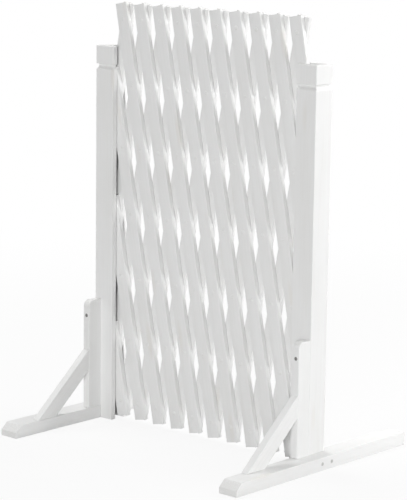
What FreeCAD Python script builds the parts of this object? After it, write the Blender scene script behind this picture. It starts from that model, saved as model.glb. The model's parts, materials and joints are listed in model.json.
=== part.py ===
import FreeCAD, Part
import os
import Sketcher

# Expandable trellis fence: two slotted posts on braced feet, with a riveted lattice of crossing slats
# between them. Millimetres and degrees, +Z up, +X from the left post to the right one, +Y to the rear.
# The origin is on the floor, in the middle of the four corners of the feet.

doc = FreeCAD.newDocument("trellis_fence")

# Driving dimensions

SIZES = {
    # posts
    "post_side": 50,
    "post_height": 810,
    "post_setback": 9,
    "cap_height": 39,
    "neck_height": 5.5,
    "neck_bevel": 5.5,
    "neck_depth": 4,
    # feet
    "foot_length": 536,
    "foot_width": 46,
    "foot_height": 27,
    "foot_slope_run": 16,
    "foot_slope_drop": 14,
    # struts and braces
    "board_thickness": 17,
    "strut_depth": 36,
    "strut_top": 264,
    "strut_corner": 13,
    "brace_depth": 35,
    "brace_angle": 40.5,
    "brace_top": 157,
    # lattice
    "pivot_spacing": 140,
    "slat_width": 30,
    "slat_thickness": 10.5,
    "slat_end": 33,
    "layer_gap": 0.6,
    "middle_row_height": 456,
    "rest_angle": 10.8,
    "open_angle": 38,
    "end_reach_margin": 1,
    "post_overlap": 13,
    "slot_play": 0.5,
    # rivets and the two pivot screws
    "pin_diameter": 5,
    "pin_play": 0.05,
    "rivet_head": 9,
    "rivet_crown": 6.5,
    "rivet_head_height": 1,
    "rivet_end_play": 0.15,
    "pivot_head": 11,
    "pivot_crown": 8,
    "pivot_head_height": 2.5,
    "pivot_bite": 8,
    # wood screws
    "screw_diameter": 4,
    "screw_head": 8,
    "screw_head_depth": 2.6,
    "screw_tip": 5,
    "screw_recess": 0.8,
    "screw_play": 0.1,
    "screw_bite": 20,
    "foot_screw_spread": 30,
    "strut_screw_drop": 33,
    "brace_screw_rise": 22,
    "brace_base_inset": 28,
}

sheet = doc.addObject("Spreadsheet::Sheet", "sizes")
for line, (alias, size) in enumerate(SIZES.items(), start=1):
    sheet.set(f"A{line}", alias)
    sheet.set(f"B{line}", str(size))
    sheet.setAlias(f"B{line}", alias)
doc.recompute()

# Counts of the lattice: rows of pivots from the top, and half pitches between the outer pivots

PIVOT_ROWS = 7
HALF_PITCHES = 20
MIDDLE_ROW = PIVOT_ROWS // 2

# Derived lengths, each an expression on the driving dimensions

HALF_PITCH = "(sizes.pivot_spacing * sin(sizes.rest_angle * 1 deg))"
ROW_PITCH = "(sizes.pivot_spacing * cos(sizes.rest_angle * 1 deg))"
OUTER_PIVOT = f"({HALF_PITCHES / 2} * {HALF_PITCH})"
INNER_FACE = f"({OUTER_PIVOT} - sizes.post_overlap)"
POST_CENTRE = f"({INNER_FACE} + sizes.post_side / 2)"
OUTER_FACE = f"({INNER_FACE} + sizes.post_side)"
BOARD_INNER = f"({OUTER_FACE} - sizes.board_thickness)"
FOOT_OUTER = f"({BOARD_INNER} + sizes.foot_width)"
POST_FRONT = "(sizes.post_setback - sizes.post_side / 2)"
STRUT_FRONT = f"({POST_FRONT} - sizes.strut_depth)"

# A slat end inside a post slot has its outer corner sawn off along the post at the widest opening
OPEN_SINE = "sin(sizes.open_angle * 1 deg)"
OPEN_COSINE = "cos(sizes.open_angle * 1 deg)"
END_REACH = "(sizes.slat_width / 2 + sizes.end_reach_margin)"
SAWN_EDGE = f"(({END_REACH} - sizes.slat_width / 2 * {OPEN_COSINE}) / {OPEN_SINE})"
SAWN_END = f"((sizes.slat_end * {OPEN_SINE} - {END_REACH}) / {OPEN_COSINE})"
CORNER_REACH = f"sqrt((sizes.slat_width / 2)^2 + {SAWN_EDGE}^2)"

# The slot takes both layers with their rivet heads, and the slat ends behind the outer pivots
RIVET_HALF_LENGTH = "(sizes.slat_thickness + sizes.layer_gap / 2 + sizes.rivet_end_play)"
SLOT_HALF_WIDTH = f"({RIVET_HALF_LENGTH} + sizes.rivet_head_height + sizes.slot_play)"
SLOT_DEPTH = f"(sizes.post_overlap + {CORNER_REACH} + sizes.slot_play)"

# The brace runs from the foot's top up to the strut's front face
BRACE_TANGENT = "tan(sizes.brace_angle * 1 deg)"
BRACE_UNDER = "(sizes.brace_top - sizes.brace_depth / cos(sizes.brace_angle * 1 deg))"
BRACE_TOE = f"({STRUT_FRONT} - (sizes.brace_top - sizes.foot_height) / {BRACE_TANGENT})"
BRACE_HEEL = f"({STRUT_FRONT} - ({BRACE_UNDER} - sizes.foot_height) / {BRACE_TANGENT})"

# Places of the wood screws
SCREW_HOLE = "(sizes.screw_diameter / 2 + sizes.screw_play)"
HEAD_HOLE = "(sizes.screw_head / 2 + sizes.screw_play)"
BOARD_MIDDLE = f"({OUTER_FACE} - sizes.board_thickness / 2)"
FOOT_SCREW_HEIGHT = "(sizes.foot_height / 2)"
STRUT_SCREW_HEIGHT = "(sizes.strut_top - sizes.strut_screw_drop)"
BRACE_SCREW_HEIGHT = f"({BRACE_UNDER} + sizes.brace_screw_rise)"
STRUT_BASE = f"({POST_FRONT} - sizes.strut_depth / 2)"
BRACE_BASE = f"({BRACE_TOE} + sizes.brace_base_inset)"
FOOT_SCREW_LENGTH = "(sizes.foot_width - sizes.screw_recess + sizes.screw_bite)"
STRUT_SCREW_LENGTH = "(sizes.strut_depth - sizes.screw_recess + sizes.screw_bite)"
BASE_SCREW_LENGTH = "(sizes.foot_height - sizes.screw_recess + sizes.screw_bite)"

ALONG_X = FreeCAD.Vector(1, 0, 0)
ALONG_Y = FreeCAD.Vector(0, 1, 0)
ALONG_Z = FreeCAD.Vector(0, 0, 1)

pieces = []


# Helpers for bodies, sketches and cuts

def value_of(expression):
    """Return the plain number that an expression on the sheet gives."""
    result = sheet.evalExpression(expression)
    return float(getattr(result, "Value", result))


def bind(target, **expressions):
    """Bind properties to expressions; a double underscore stands for a dot in the property's path."""
    for name, expression in expressions.items():
        target.setExpression(name.replace("__", "."), expression)


def turn_from_z(direction):
    """Return the rotation that takes the Z axis to a direction."""
    return FreeCAD.Rotation(ALONG_Z, direction)


def place(target, position, rotation):
    """Place an object by three expressions and a fixed rotation."""
    target.Placement = FreeCAD.Placement(FreeCAD.Vector(), rotation)
    bind(target, Placement__Base__x=position[0], Placement__Base__y=position[1], Placement__Base__z=position[2])


def new_body(label):
    """Add an empty body that becomes one node."""
    body = doc.addObject("PartDesign::Body", label)
    body.Label = label
    pieces.append(body)
    return body


def origin_feature(body, role):
    """Return one of a body's own origin planes or axes."""
    for feature in body.Origin.OriginFeatures:
        if feature.Role == role:
            return feature
    raise ValueError(f"{body.Label} has no {role}")


def outline_sketch(body, plane, corners):
    """Draw a closed outline on an origin plane, with each corner bound to a pair of expressions."""
    sketch = body.newObject("Sketcher::SketchObject", f"{body.Name}_outline")
    sketch.AttachmentSupport = [(origin_feature(body, plane), "")]
    sketch.MapMode = "FlatFace"
    points = [FreeCAD.Vector(value_of(across), value_of(up), 0) for across, up in corners]
    count = len(points)
    for index in range(count):
        sketch.addGeometry(Part.LineSegment(points[index], points[(index + 1) % count]))
    for index in range(count):
        sketch.addConstraint(Sketcher.Constraint("Coincident", index, 2, (index + 1) % count, 1))
    for index, (across, up) in enumerate(corners):
        for kind, expression, value in (
            ("DistanceX", across, points[index].x),
            ("DistanceY", up, points[index].y),
        ):
            constraint = sketch.addConstraint(Sketcher.Constraint(kind, -1, 1, index, 1, value))
            sketch.setExpression(f"Constraints[{constraint}]", expression)
    return sketch


def pad(body, plane, corners, length):
    """Give a body its stock: an outline padded from its plane by a length."""
    feature = body.newObject("PartDesign::Pad", f"{body.Name}_pad")
    feature.Profile = outline_sketch(body, plane, corners)
    bind(feature, Length=length)
    doc.recompute()
    return feature


def revolve(body, corners):
    """Turn an outline on the XZ plane round the body's Z axis."""
    feature = body.newObject("PartDesign::Revolution", f"{body.Name}_turned")
    feature.Profile = outline_sketch(body, "XZ_Plane", corners)
    feature.ReferenceAxis = (origin_feature(body, "Z_Axis"), [""])
    feature.Angle = 360
    doc.recompute()
    return feature


def repeat(body, feature, axis, spacing, count, backwards=False):
    """Repeat a feature in a straight row."""
    row = body.newObject("PartDesign::LinearPattern", f"{body.Name}_row")
    row.Originals = [feature]
    row.Direction = (origin_feature(body, axis), [""])
    row.Reversed = backwards
    row.Occurrences = count
    bind(row, Length=f"{count - 1} * {spacing}")
    body.Tip = row
    doc.recompute()


def cut_box(body, name, low, high):
    """Cut a box between two corners given as expressions."""
    box = body.newObject("PartDesign::SubtractiveBox", f"{body.Name}_{name}")
    sizes = [f"({top}) - ({bottom})" for bottom, top in zip(low, high)]
    bind(box, Length=sizes[0], Width=sizes[1], Height=sizes[2])
    place(box, low, FreeCAD.Rotation())
    checked_cut(body, box)


def cut_bore(body, name, start, direction, radius, depth):
    """Cut a round hole from a starting point along a direction."""
    bore = body.newObject("PartDesign::SubtractiveCylinder", f"{body.Name}_{name}")
    bind(bore, Radius=radius, Height=depth)
    place(bore, start, turn_from_z(direction))
    checked_cut(body, bore)
    return bore


def cut_screw_seat(body, name, face, inward, length):
    """Cut a countersunk screw hole into a face; inward is an axis letter and a sign."""
    axis, sign = inward
    direction = FreeCAD.Vector(*(sign if letter == axis else 0 for letter in "xyz"))

    def deeper(depth):
        return [f"{at} + {sign} * ({depth})" if letter == axis else at for letter, at in zip("xyz", face)]

    cut_bore(body, f"{name}_mouth", face, direction, HEAD_HOLE, "sizes.screw_recess")
    sink = body.newObject("PartDesign::SubtractiveCone", f"{body.Name}_{name}_sink")
    bind(sink, Radius1=HEAD_HOLE, Radius2=SCREW_HOLE, Height="sizes.screw_head_depth")
    place(sink, deeper("sizes.screw_recess"), turn_from_z(direction))
    checked_cut(body, sink)
    cut_bore(body, f"{name}_shank", deeper("sizes.screw_recess"), direction, SCREW_HOLE, length)


def checked_cut(body, feature):
    """Recompute, and stop if a cut took nothing away."""
    before = body.Tip.BaseFeature.Shape.Volume if body.Tip.BaseFeature else 0
    doc.recompute()
    if not before - body.Shape.Volume > 0:
        raise RuntimeError(f"{feature.Name} cuts nothing")


def rectangle(low, high):
    """Return the corners of a rectangle from two pairs of expressions."""
    return [(low[0], low[1]), (high[0], low[1]), (high[0], high[1]), (low[0], high[1])]


# Posts, feet, struts and braces: side is -1 on the left and +1 on the right

def make_post(label, side):
    """Square post with a slot for the lattice, a notch for the foot and a turned-in neck under its cap."""
    half = "sizes.post_side / 2"
    body = new_body(label)
    pad(body, "XY_Plane", rectangle((f"-{half}", f"-{half}"), (half, half)), "sizes.post_height")
    place(body, (f"{side} * {POST_CENTRE}", "sizes.post_setback", "0"), FreeCAD.Rotation())

    spill = "sizes.post_side"
    slot_floor = f"{half} - {SLOT_DEPTH}"
    slot_x = (f"-({half}) - {spill}", f"-({slot_floor})") if side > 0 else (slot_floor, f"{half} + {spill}")
    cut_box(
        body, "slot",
        (slot_x[0], f"-{SLOT_HALF_WIDTH}", "-1"),
        (slot_x[1], SLOT_HALF_WIDTH, "sizes.post_height + 1"),
    )
    notch_face = f"{half} - sizes.board_thickness"
    notch_x = (notch_face, f"{half} + {spill}") if side > 0 else (f"-({half}) - {spill}", f"-({notch_face})")
    cut_box(body, "notch", (notch_x[0], f"-{spill}", "-1"), (notch_x[1], spill, "sizes.foot_height"))
    cut_neck(body)

    pivot_x = f"{-side} * ({half} - sizes.post_overlap)"
    bite_end = f"-({SLOT_HALF_WIDTH} + sizes.pivot_bite + sizes.slot_play)"
    pin_hole = "sizes.pin_diameter / 2 + sizes.pin_play"
    cut_bore(body, "pivot", (pivot_x, bite_end, "sizes.middle_row_height"), ALONG_Y, pin_hole, "2 * sizes.post_side")

    screw_start = f"{side} * ({notch_face})"
    screw_depth = "sizes.screw_bite + sizes.slot_play"
    for name, sign in (("front", -1), ("rear", 1)):
        screw_y = f"{sign} * sizes.foot_screw_spread / 2"
        cut_bore(
            body, f"{name}_foot_screw", (screw_start, screw_y, FOOT_SCREW_HEIGHT), ALONG_X * -side,
            SCREW_HOLE, screw_depth,
        )
    strut_screw_x = f"{side} * ({half} - sizes.board_thickness / 2)"
    cut_bore(body, "strut_screw", (strut_screw_x, f"-{half}", STRUT_SCREW_HEIGHT), ALONG_Y, SCREW_HOLE, screw_depth)


def cut_neck(body):
    """Cut the neck under the cap: square under the cap, sloping out again to the shaft."""
    half = "sizes.post_side / 2"
    top = "sizes.post_height - sizes.cap_height"
    bottom = f"{top} - sizes.neck_height"
    slope_end = f"{bottom} - sizes.neck_bevel"
    for plane in ("XZ_Plane", "YZ_Plane"):
        for sign in (-1, 1):
            corners = [
                (f"{sign} * sizes.post_side", top),
                (f"{sign} * ({half} - sizes.neck_depth)", top),
                (f"{sign} * ({half} - sizes.neck_depth)", bottom),
                (f"{sign} * {half}", slope_end),
                (f"{sign} * sizes.post_side", slope_end),
            ]
            cut = body.newObject("PartDesign::Pocket", f"{body.Name}_neck")
            cut.Profile = outline_sketch(body, plane, corners)
            cut.Midplane = True
            bind(cut, Length="4 * sizes.post_side")
            checked_cut(body, cut)


def make_foot(label, side):
    """Foot beam with a sloped front end and a square rear end, drilled for its screws."""
    half = "sizes.foot_length / 2"
    slope_top = f"-({half} - sizes.foot_slope_run)"
    slope_base = "sizes.foot_height - sizes.foot_slope_drop"
    profile = [
        (f"-{half}", "0"),
        (half, "0"),
        (half, "sizes.foot_height"),
        (slope_top, "sizes.foot_height"),
        (f"-{half}", slope_base),
    ]
    body = new_body(label)
    pad(body, "YZ_Plane", profile, "sizes.foot_width")
    left_edge = BOARD_INNER if side > 0 else f"-{FOOT_OUTER}"
    place(body, (left_edge, "0", "0"), FreeCAD.Rotation())

    outer = "sizes.foot_width" if side > 0 else "0"
    for name, sign in (("front", -1), ("rear", 1)):
        screw_y = f"sizes.post_setback + {sign} * sizes.foot_screw_spread / 2"
        cut_screw_seat(body, name, (outer, screw_y, FOOT_SCREW_HEIGHT), ("x", -side), "sizes.foot_width")
    board = "sizes.board_thickness / 2" if side > 0 else "sizes.foot_width - sizes.board_thickness / 2"
    for name, base in (("strut", STRUT_BASE), ("brace", BRACE_BASE)):
        cut_screw_seat(body, name, (board, base, "0"), ("z", 1), "sizes.foot_height")


def make_strut(label, side):
    """Upright board on the front of the post, with its top front corner rounded."""
    body = new_body(label)
    corners = rectangle((STRUT_FRONT, "sizes.foot_height"), (POST_FRONT, "sizes.strut_top"))
    stock = pad(body, "YZ_Plane", corners, "sizes.board_thickness")
    place(body, (BOARD_INNER if side > 0 else f"-{OUTER_FACE}", "0", "0"), FreeCAD.Rotation())
    front = value_of(STRUT_FRONT)
    top = value_of("sizes.strut_top")
    for number, edge in enumerate(stock.Shape.Edges, start=1):
        at = edge.CenterOfMass
        if abs(at.y - front) < 0.01 and abs(at.z - top) < 0.01:
            rounding = body.newObject("PartDesign::Fillet", f"{body.Name}_corner")
            rounding.Base = (stock, [f"Edge{number}"])
            bind(rounding, Radius="sizes.strut_corner")
    doc.recompute()

    middle = "sizes.board_thickness / 2"
    bite = "sizes.screw_bite + sizes.slot_play"
    cut_screw_seat(body, "post_screw", (middle, STRUT_FRONT, STRUT_SCREW_HEIGHT), ("y", 1), "sizes.strut_depth")
    cut_screw_seat(body, "brace_screw", (middle, POST_FRONT, BRACE_SCREW_HEIGHT), ("y", -1), "sizes.strut_depth")
    cut_bore(body, "base_screw", (middle, STRUT_BASE, "sizes.foot_height"), ALONG_Z, SCREW_HOLE, bite)


def make_brace(label, side):
    """Slanting board from the foot's top to the strut's front face."""
    corners = [
        (BRACE_TOE, "sizes.foot_height"),
        (BRACE_HEEL, "sizes.foot_height"),
        (STRUT_FRONT, BRACE_UNDER),
        (STRUT_FRONT, "sizes.brace_top"),
    ]
    body = new_body(label)
    pad(body, "YZ_Plane", corners, "sizes.board_thickness")
    place(body, (BOARD_INNER if side > 0 else f"-{OUTER_FACE}", "0", "0"), FreeCAD.Rotation())
    middle = "sizes.board_thickness / 2"
    bite = "sizes.screw_bite + sizes.slot_play"
    cut_bore(body, "base_screw", (middle, BRACE_BASE, "sizes.foot_height"), ALONG_Z, SCREW_HOLE, bite)
    cut_bore(body, "strut_screw", (middle, STRUT_FRONT, BRACE_SCREW_HEIGHT), ALONG_Y * -1, SCREW_HOLE, bite)


# Screws: each is turned round its own Z axis, with its head at the top

def make_screws(label, position, rotation, length, spacing=None):
    """One countersunk wood screw, or a pair side by side along its own X axis."""
    body = new_body(label)
    radius = "sizes.screw_diameter / 2"
    profile = [
        ("0", "0"),
        ("sizes.screw_head / 2", "0"),
        (radius, "-sizes.screw_head_depth"),
        (radius, f"-({length} - sizes.screw_tip)"),
        ("0", f"-{length}"),
    ]
    screw = revolve(body, profile)
    if spacing:
        repeat(body, screw, "X_Axis", spacing, 2)
    place(body, position, rotation)


def make_pivot_screw(label, side):
    """Round-headed screw from the rear of the post, through both slats of the middle outer pivot."""
    body = new_body(label)
    radius = "sizes.pin_diameter / 2"
    length = f"(sizes.post_side / 2 + {SLOT_HALF_WIDTH} + sizes.pivot_bite)"
    profile = [
        ("0", "sizes.pivot_head_height"),
        ("sizes.pivot_crown / 2", "sizes.pivot_head_height"),
        ("sizes.pivot_head / 2", "0"),
        (radius, "0"),
        (radius, f"-({length} - sizes.screw_tip)"),
        ("0", f"-{length}"),
    ]
    revolve(body, profile)
    rear = "sizes.post_setback + sizes.post_side / 2"
    place(body, (f"{side} * {OUTER_PIVOT}", rear, "sizes.middle_row_height"), turn_from_z(ALONG_Y))


def make_side_screws(name, side):
    """All the wood screws of one stand."""
    lower_screw = "sizes.post_setback - sizes.foot_screw_spread / 2"
    foot_face = f"{side} * ({FOOT_OUTER} - sizes.screw_recess)"
    outward = FreeCAD.Rotation(ALONG_Y, ALONG_Z, ALONG_X * side, "ZXY")
    make_screws(
        f"{name}_foot_screws", (foot_face, lower_screw, FOOT_SCREW_HEIGHT), outward,
        FOOT_SCREW_LENGTH, "sizes.foot_screw_spread",
    )
    board_x = f"{side} * {BOARD_MIDDLE}"
    downward = FreeCAD.Rotation(ALONG_Y, ALONG_X, ALONG_Z * -1, "ZXY")
    make_screws(
        f"{name}_base_screws", (board_x, BRACE_BASE, "sizes.screw_recess"), downward,
        BASE_SCREW_LENGTH, f"({STRUT_BASE} - {BRACE_BASE})",
    )
    make_screws(
        f"{name}_strut_screw", (board_x, f"{STRUT_FRONT} + sizes.screw_recess", STRUT_SCREW_HEIGHT),
        turn_from_z(ALONG_Y * -1), STRUT_SCREW_LENGTH,
    )
    make_screws(
        f"{name}_brace_screw", (board_x, f"{POST_FRONT} - sizes.screw_recess", BRACE_SCREW_HEIGHT),
        turn_from_z(ALONG_Y), STRUT_SCREW_LENGTH,
    )


# Lattice: a front slat runs down to the right, a back slat down to the left

def slat_rows(top_column, step):
    """Return the pivot rows, from the top, that a slat crosses; its column moves by step at each row."""
    return [row for row in range(PIVOT_ROWS) if 0 <= top_column + step * row <= HALF_PITCHES]


def pivot_place(column, row, depth):
    """Return the expressions for the place of a pivot, at a depth from the lattice's middle plane."""
    return (
        f"{column - HALF_PITCHES / 2} * {HALF_PITCH}",
        f"sizes.post_setback + {depth}",
        f"sizes.middle_row_height + {MIDDLE_ROW - row} * {ROW_PITCH}",
    )


def lean(body, position, step):
    """Stand a lattice piece at its first pivot, leaning the way its layer does."""
    place(body, position, FreeCAD.Rotation(ALONG_Y * -step, value_of("sizes.rest_angle")))
    bind(body, Placement__Rotation__Angle="sizes.rest_angle")


def make_slat(label, top_column, step):
    """Slat with one hole for each pivot; an end that enters a post slot has its outer corner sawn off."""
    rows = slat_rows(top_column, step)
    first_column = top_column + step * rows[0]
    last_column = top_column + step * rows[-1]
    half = "sizes.slat_width / 2"
    foot = f"-({len(rows) - 1} * sizes.pivot_spacing)"
    corners = []
    for side, end, column, order in ((-1, 1, first_column, 1), (1, 1, first_column, -1),
                                     (1, -1, last_column, 1), (-1, -1, last_column, -1)):
        base = "0" if end > 0 else foot
        in_post = column == (0 if side < 0 else HALF_PITCHES)
        corner = [(f"{side} * {half}", f"{base} + {end} * sizes.slat_end")]
        if in_post:
            corner = [
                (f"{side} * {half}", f"{base} + {end} * {SAWN_EDGE}"),
                (f"{-side} * {SAWN_END}", f"{base} + {end} * sizes.slat_end"),
            ]
        corners.extend(corner if order > 0 else reversed(corner))
    body = new_body(label)
    pad(body, "XZ_Plane", corners, "sizes.slat_thickness")
    hole = cut_bore(
        body, "hole", ("0", "sizes.slat_thickness", "0"), ALONG_Y * -1,
        "sizes.pin_diameter / 2 + sizes.pin_play", "3 * sizes.slat_thickness",
    )
    repeat(body, hole, "Z_Axis", "sizes.pivot_spacing", len(rows), backwards=True)
    depth = "(-sizes.layer_gap / 2)" if step > 0 else "(sizes.layer_gap / 2 + sizes.slat_thickness)"
    lean(body, pivot_place(first_column, rows[0], depth), step)


def make_rivets(label, top_column):
    """Rivets of one front slat, headed on both sides; a pivot on a post's screw has none."""
    rows = slat_rows(top_column, 1)
    screw_columns = (0, HALF_PITCHES)
    riveted = [row for row in rows if not (row == MIDDLE_ROW and top_column + row in screw_columns)]
    body = new_body(label)
    radius = "sizes.pin_diameter / 2"
    head = "sizes.rivet_head / 2"
    crown = "sizes.rivet_crown / 2"
    front = "sizes.slat_thickness"
    rear = "-(sizes.slat_thickness + sizes.layer_gap + sizes.rivet_end_play)"
    profile = [
        ("0", f"{front} + sizes.rivet_head_height"),
        (crown, f"{front} + sizes.rivet_head_height"),
        (head, front),
        (radius, front),
        (radius, rear),
        (head, rear),
        (crown, f"{rear} - sizes.rivet_head_height"),
        ("0", f"{rear} - sizes.rivet_head_height"),
    ]
    rivet = revolve(body, profile)
    repeat(body, rivet, "X_Axis", "sizes.pivot_spacing", len(riveted))
    place(body, pivot_place(top_column + riveted[0], riveted[0], "(-sizes.layer_gap / 2)"), FreeCAD.Rotation())
    face_front = FreeCAD.Rotation(ALONG_Z * -1, ALONG_X, ALONG_Y * -1, "ZXY")
    leaning = FreeCAD.Rotation(ALONG_Y * -1, value_of("sizes.rest_angle"))
    body.Placement = FreeCAD.Placement(body.Placement.Base, leaning.multiply(face_front))


for name, side in (("left", -1), ("right", 1)):
    make_post(f"{name}_post", side)
    make_foot(f"{name}_foot", side)
    make_strut(f"{name}_strut", side)
    make_brace(f"{name}_brace", side)
    make_side_screws(name, side)
    make_pivot_screw(f"{name}_pivot_screw", side)

FRONT_TOP_COLUMNS = range(2 - PIVOT_ROWS, HALF_PITCHES, 2)
BACK_TOP_COLUMNS = range(1, HALF_PITCHES + PIVOT_ROWS - 1, 2)
for number, column in enumerate(FRONT_TOP_COLUMNS, start=1):
    make_slat(f"front_slat_{number:02d}", column, 1)
    make_rivets(f"rivets_{number:02d}", column)
for number, column in enumerate(BACK_TOP_COLUMNS, start=1):
    make_slat(f"back_slat_{number:02d}", column, -1)

# Check every object, then write each piece to its own file

doc.recompute()
for item in doc.Objects:
    if "Invalid" in item.State or "Error" in item.State:
        raise RuntimeError(f"{item.Label} failed: {item.State}")
for piece in pieces:
    if piece.Shape.isNull() or not piece.Shape.isValid():
        raise RuntimeError(f"{piece.Label} has no valid shape")

os.makedirs("parts", exist_ok=True)
for piece in pieces:
    piece.Shape.exportStep(f"parts/{piece.Label}.step")
print(len(pieces), "pieces written")
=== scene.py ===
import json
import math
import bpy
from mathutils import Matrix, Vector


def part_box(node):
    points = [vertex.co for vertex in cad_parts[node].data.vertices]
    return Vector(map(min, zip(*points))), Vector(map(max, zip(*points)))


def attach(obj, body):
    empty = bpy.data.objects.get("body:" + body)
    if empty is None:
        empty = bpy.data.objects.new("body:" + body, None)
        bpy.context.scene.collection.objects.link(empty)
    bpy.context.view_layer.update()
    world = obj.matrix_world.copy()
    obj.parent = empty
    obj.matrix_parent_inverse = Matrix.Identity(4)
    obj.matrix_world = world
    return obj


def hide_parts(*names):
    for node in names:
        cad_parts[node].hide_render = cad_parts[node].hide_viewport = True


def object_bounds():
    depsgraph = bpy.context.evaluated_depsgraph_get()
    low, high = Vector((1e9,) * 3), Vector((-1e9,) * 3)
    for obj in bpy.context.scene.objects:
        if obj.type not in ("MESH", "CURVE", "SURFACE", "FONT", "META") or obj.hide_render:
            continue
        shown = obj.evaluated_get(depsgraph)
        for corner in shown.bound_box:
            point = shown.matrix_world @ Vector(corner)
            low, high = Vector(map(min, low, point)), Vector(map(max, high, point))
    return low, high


bl_info = {
    "name": "Expandable Trellis Fence",
    "version": (1, 0, 0),
    "blender": (4, 5, 0),
    "location": "View3D > Sidebar > Trellis",
    "description": "White painted trellis fence: braced posts, a riveted scissor lattice and a studio stage",
    "category": "Object",
}

import bmesh
import bpy
import numpy as np
from bpy.props import FloatProperty, FloatVectorProperty, PointerProperty
from mathutils import Matrix, Vector

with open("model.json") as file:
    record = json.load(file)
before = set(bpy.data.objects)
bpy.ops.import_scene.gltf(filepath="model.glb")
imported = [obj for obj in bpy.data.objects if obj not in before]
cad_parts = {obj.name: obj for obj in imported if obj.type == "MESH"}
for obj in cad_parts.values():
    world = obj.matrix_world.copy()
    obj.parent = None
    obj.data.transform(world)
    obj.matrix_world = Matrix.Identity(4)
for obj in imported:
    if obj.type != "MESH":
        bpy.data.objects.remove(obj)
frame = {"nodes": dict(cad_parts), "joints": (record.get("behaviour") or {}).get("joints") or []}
CAD_BOX = [list(corner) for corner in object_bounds()]

# Lattice layout, with its measures read from the frame
# A pivot is named by its column in half pitches from the left post, and its row from the top.

PIVOT_ROWS = 7
HALF_PITCHES = 20
MIDDLE_ROW = PIVOT_ROWS // 2
SIDES = {"left": -1, "right": 1}
FRONT_TOP_COLUMNS = list(range(2 - PIVOT_ROWS, HALF_PITCHES, 2))
BACK_TOP_COLUMNS = list(range(1, HALF_PITCHES + PIVOT_ROWS - 1, 2))

JOINTS = {joint["name"]: joint for joint in frame["joints"]}
LEFT_PIVOT = Vector(JOINTS["lattice_opening"]["pos_m"])
RIGHT_PIVOT = Vector(JOINTS["right_stand_pivot"]["pos_m"])
TOP_PIVOT = Vector(JOINTS["front_slat_08_pivot"]["pos_m"])
HALF_PITCH = (RIGHT_PIVOT.x - LEFT_PIVOT.x) / HALF_PITCHES
ROW_PITCH = (TOP_PIVOT.z - LEFT_PIVOT.z) / MIDDLE_ROW
PIVOT_SPACING = math.hypot(HALF_PITCH, ROW_PITCH)
REST_ANGLE = math.atan2(HALF_PITCH, ROW_PITCH)
OPEN_ANGLE = REST_ANGLE + math.radians(JOINTS["lattice_opening"]["range_deg"][1])


def node_size(node):
    """Return the size of a frame node's box along X, Y and Z."""
    low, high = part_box(node)
    return high - low


def slat_cut():
    """Return the width and length of a full slat, worked out from the box that it leans in."""
    box = node_size("front_slat_07")
    spread = math.cos(2 * REST_ANGLE)
    length = (box.z * math.cos(REST_ANGLE) - box.x * math.sin(REST_ANGLE)) / spread
    width = (box.x * math.cos(REST_ANGLE) - box.z * math.sin(REST_ANGLE)) / spread
    return width, length


SLAT_WIDTH, SLAT_LENGTH = slat_cut()
SLAT_THICKNESS = node_size("front_slat_07").y
SLAT_END = (SLAT_LENGTH - (PIVOT_ROWS - 1) * PIVOT_SPACING) / 2
FRONT_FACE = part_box("front_slat_07")[0].y
REAR_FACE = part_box("back_slat_07")[1].y
SAW_MARGIN = 0.001


# Sizes, finishes and stage settings that a user would change

class TimberSettings(bpy.types.PropertyGroup):
    """Edges and drilling of the painted timber."""

    edge_radius: FloatProperty(
        name="Edge Radius", description="Rounding of the edges of posts, feet, struts and braces",
        default=0.0014, min=0.0, unit="LENGTH")
    slat_edge: FloatProperty(
        name="Slat Edge", description="Rounding of the long edges of the slats",
        default=0.0009, min=0.0001, unit="LENGTH")
    slat_reach: FloatProperty(
        name="Slat Reach", description="How far a slat end in a post slot reaches past its pivot",
        default=SLAT_WIDTH / 2 + SAW_MARGIN, min=0.0, unit="LENGTH")
    hole_radius: FloatProperty(
        name="Hole Radius", description="Radius of the pivot holes in the slats",
        default=0.0029, min=0.0001, unit="LENGTH")


class HardwareSettings(bpy.types.PropertyGroup):
    """Rivets and screws."""

    rivet_radius: FloatProperty(
        name="Rivet Head", description="Radius of a rivet head", default=0.0045, min=0.001, unit="LENGTH")
    rivet_height: FloatProperty(
        name="Rivet Crown", description="Height of a rivet head", default=0.001, min=0.0001, unit="LENGTH")
    pin_radius: FloatProperty(
        name="Rivet Shank", description="Radius of the rivets and pivot screws in the slats",
        default=0.0025, min=0.001, unit="LENGTH")
    screw_radius: FloatProperty(
        name="Screw Head", description="Radius of a countersunk screw head",
        default=0.0039, min=0.001, unit="LENGTH")
    screw_shank: FloatProperty(
        name="Screw Shank", description="Radius of a wood screw's shank",
        default=0.0019, min=0.0005, unit="LENGTH")
    screw_sink: FloatProperty(
        name="Screw Sink", description="Height of a countersunk screw head",
        default=0.0026, min=0.0005, unit="LENGTH")
    pivot_radius: FloatProperty(
        name="Pivot Screw Head", description="Radius of a pivot screw's round head",
        default=0.0055, min=0.001, unit="LENGTH")
    pivot_height: FloatProperty(
        name="Pivot Screw Crown", description="Height of a pivot screw's round head",
        default=0.0025, min=0.0005, unit="LENGTH")


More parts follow.
